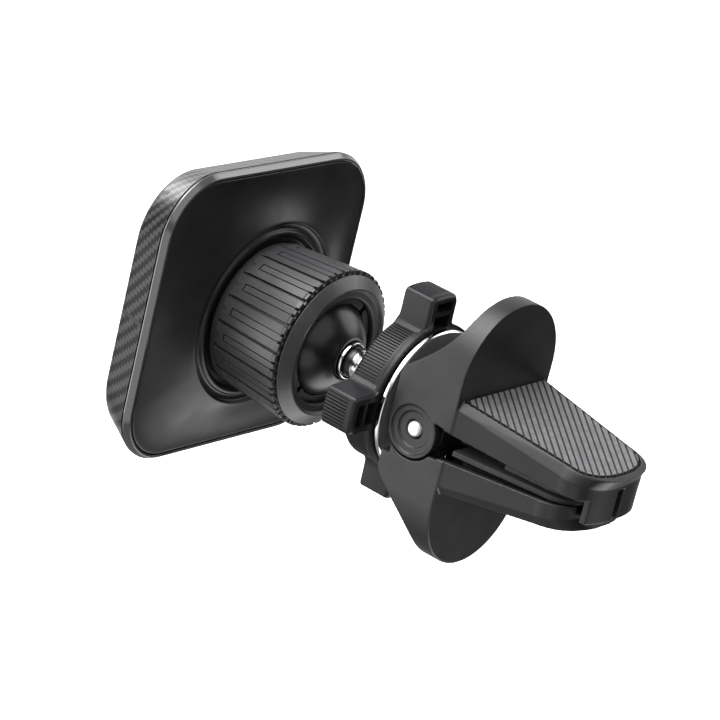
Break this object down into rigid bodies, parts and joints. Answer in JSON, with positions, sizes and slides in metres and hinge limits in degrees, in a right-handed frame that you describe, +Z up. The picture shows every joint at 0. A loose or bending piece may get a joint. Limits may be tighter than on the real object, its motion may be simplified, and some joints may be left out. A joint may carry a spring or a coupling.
{
  "type": "magnetic car phone mount",
  "caption": "Magnetic phone holder plate on a ball joint with a clamping ring nut and a screw-locked, spring-closed air-vent clip with finger paddles.",
  "frame": {"origin": "middle of the phone face, on its front surface", "axes": "-Y out of the phone face towards the phone, +Y along the ball stud and the vent jaws, +Z up, +X along the jaws' hinge pin"},
  "size_m": [0.0596, 0.1016, 0.0596],
  "materials": {
    "satin_black_plastic": "fine satin black moulding",
    "weave_shell": "black with a twill weave look under a satin lacquer",
    "polished_black": "mirror-polished black bevel",
    "graphite_plastic": "fine-grained dark graphite moulding",
    "black_rubber": "matt soft rubber",
    "nylon": "natural white nylon",
    "chrome": "bright chrome plating",
    "plain_steel": "bright plain steel",
    "nickel_magnet": "nickel-plated magnet",
    "spring_steel": "oiled spring steel"
  },
  "bodies": {
    "clip_core": {"ball_stud": "chrome", "stud_screw": "plain_steel", "hinge_core": "graphite_plastic", "hinge_pin": "plain_steel", "torsion_spring": "spring_steel"},
    "swivel_ball": {"swivel_ball": "satin_black_plastic"},
    "ball_seat": {"ball_seat": "nylon"},
    "head": {"front_shell": "weave_shell", "phone_face_pad": "black_rubber", "bezel_ring": "polished_black", "back_cover": "satin_black_plastic", "ball_socket": "satin_black_plastic", "steel_yoke_plate": "plain_steel", "magnet_1": "nickel_magnet", "magnet_2": "nickel_magnet", "magnet_3": "nickel_magnet", "magnet_4": "nickel_magnet", "socket_screw_1": "plain_steel", "socket_screw_2": "plain_steel", "socket_screw_3": "plain_steel", "socket_screw_4": "plain_steel"},
    "compression_ring": {"compression_ring": "nylon"},
    "ring_nut": {"clamp_ring_nut": "satin_black_plastic"},
    "thrust_ring": {"thrust_ring": "chrome"},
    "lock_nut": {"clip_lock_nut": "graphite_plastic"},
    "upper_jaw": {"upper_jaw": "graphite_plastic", "upper_grip_pad": "black_rubber", "upper_liner": "black_rubber"},
    "lower_jaw": {"lower_jaw": "graphite_plastic", "lower_grip_pad": "black_rubber", "lower_liner": "black_rubber"}
  },
  "joints": [
    {"name": "ball_twist", "type": "hinge", "parent": "clip_core", "child": "swivel_ball", "pos_m": [0, 0.026, 0], "axis": [0, 1, 0], "continuous": true},
    {"name": "head_tilt_up_down", "type": "hinge", "parent": "swivel_ball", "child": "ball_seat", "pos_m": [0, 0.026, 0], "axis": [1, 0, 0], "range_deg": [-25, 25]},
    {"name": "head_tilt_sideways", "type": "hinge", "parent": "ball_seat", "child": "head", "pos_m": [0, 0.026, 0], "axis": [0, 0, 1], "range_deg": [-25, 25]},
    {"name": "compression_ring_slide", "type": "slide", "parent": "head", "child": "compression_ring", "axis": [0, 1, 0], "range_m": [0, 0.001]},
    {"name": "ring_nut_turn", "type": "hinge", "parent": "compression_ring", "child": "ring_nut", "pos_m": [0, 0.026, 0], "axis": [0, 1, 0], "range_deg": [0, 180]},
    {"name": "thrust_ring_slide", "type": "slide", "parent": "clip_core", "child": "thrust_ring", "axis": [0, -1, 0], "range_m": [-0.0012, 0.0025]},
    {"name": "lock_nut_turn", "type": "hinge", "parent": "thrust_ring", "child": "lock_nut", "pos_m": [0, 0.0507, 0], "axis": [0, -1, 0], "range_deg": [-144, 300]},
    {"name": "upper_jaw_open", "type": "hinge", "parent": "clip_core", "child": "upper_jaw", "pos_m": [0, 0.0626, 0], "axis": [1, 0, 0], "range_deg": [0, 9], "stiffness_Nm_per_rad": 0.08, "springref_deg": -45.84, "deforming": ["torsion_spring"]},
    {"name": "lower_jaw_open", "type": "hinge", "parent": "clip_core", "child": "lower_jaw", "pos_m": [0, 0.0626, 0], "axis": [-1, 0, 0], "range_deg": [0, 9], "stiffness_Nm_per_rad": 0.08, "springref_deg": -45.84}
  ],
  "couplings": [
    {"joint": "ring_nut_turn", "follows": "compression_ring_slide", "rad_per_m": 3141},
    {"joint": "lock_nut_turn", "follows": "thrust_ring_slide", "rad_per_m": 2094},
    {"joint": "lower_jaw_open", "follows": "upper_jaw_open", "ratio": 1}
  ]
}
